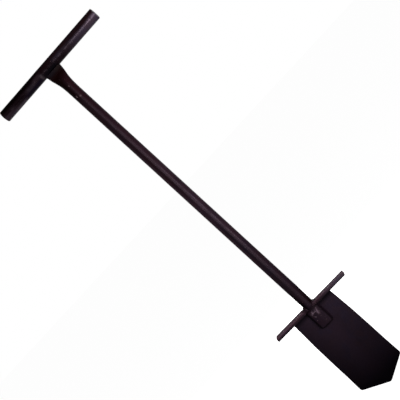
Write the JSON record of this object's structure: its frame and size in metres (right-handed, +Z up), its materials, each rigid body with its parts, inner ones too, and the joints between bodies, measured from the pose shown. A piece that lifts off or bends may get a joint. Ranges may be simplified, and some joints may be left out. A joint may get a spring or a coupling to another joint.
{
  "type": "tree planting spade",
  "caption": "All-steel digging spade with a T handle, a round tube shaft, a foot bar across the top of the blade and a narrow flat blade with a shallow pointed end.",
  "frame": {"origin": "on the axis of the T handle, where the line of the shaft meets it", "axes": "+Z up the shaft towards the handle, +X right along the handle, and the side with the tang faces -Y"},
  "size_m": [0.3072, 0.0294, 1.0609],
  "materials": {
    "handle_tube_paint": "worn satin black",
    "handle_cap_left_paint": "worn satin black",
    "handle_cap_right_paint": "worn satin black",
    "neck_weld_paint": "glossy black over a rippled bead",
    "shaft_tube_paint": "worn satin black",
    "tread_left_paint": "worn satin black",
    "tread_right_paint": "worn satin black",
    "tread_weld_left_paint": "glossy black over a rippled bead",
    "tread_weld_right_paint": "glossy black over a rippled bead",
    "tang_weld_paint": "glossy black over a rippled bead",
    "tang_top_weld_paint": "glossy black over a rippled bead",
    "shaft_back_weld_paint": "glossy black over a rippled bead",
    "blade_paint": "satin black",
    "blade_weld_front_left_paint": "glossy black over a rippled bead",
    "blade_weld_front_right_paint": "glossy black over a rippled bead",
    "blade_weld_back_left_paint": "glossy black over a rippled bead",
    "blade_weld_back_right_paint": "glossy black over a rippled bead"
  },
  "bodies": {
    "root": {"handle_tube": "handle_tube_paint", "handle_cap_left": "handle_cap_left_paint", "handle_cap_right": "handle_cap_right_paint", "neck_weld": "neck_weld_paint", "shaft_tube": "shaft_tube_paint", "tread_left": "tread_left_paint", "tread_right": "tread_right_paint", "tread_weld_left": "tread_weld_left_paint", "tread_weld_right": "tread_weld_right_paint", "tang_weld": "tang_weld_paint", "tang_top_weld": "tang_top_weld_paint", "shaft_back_weld": "shaft_back_weld_paint", "blade": "blade_paint", "blade_weld_front_left": "blade_weld_front_left_paint", "blade_weld_front_right": "blade_weld_front_right_paint", "blade_weld_back_left": "blade_weld_back_left_paint", "blade_weld_back_right": "blade_weld_back_right_paint"}
  },
  "joints": []
}
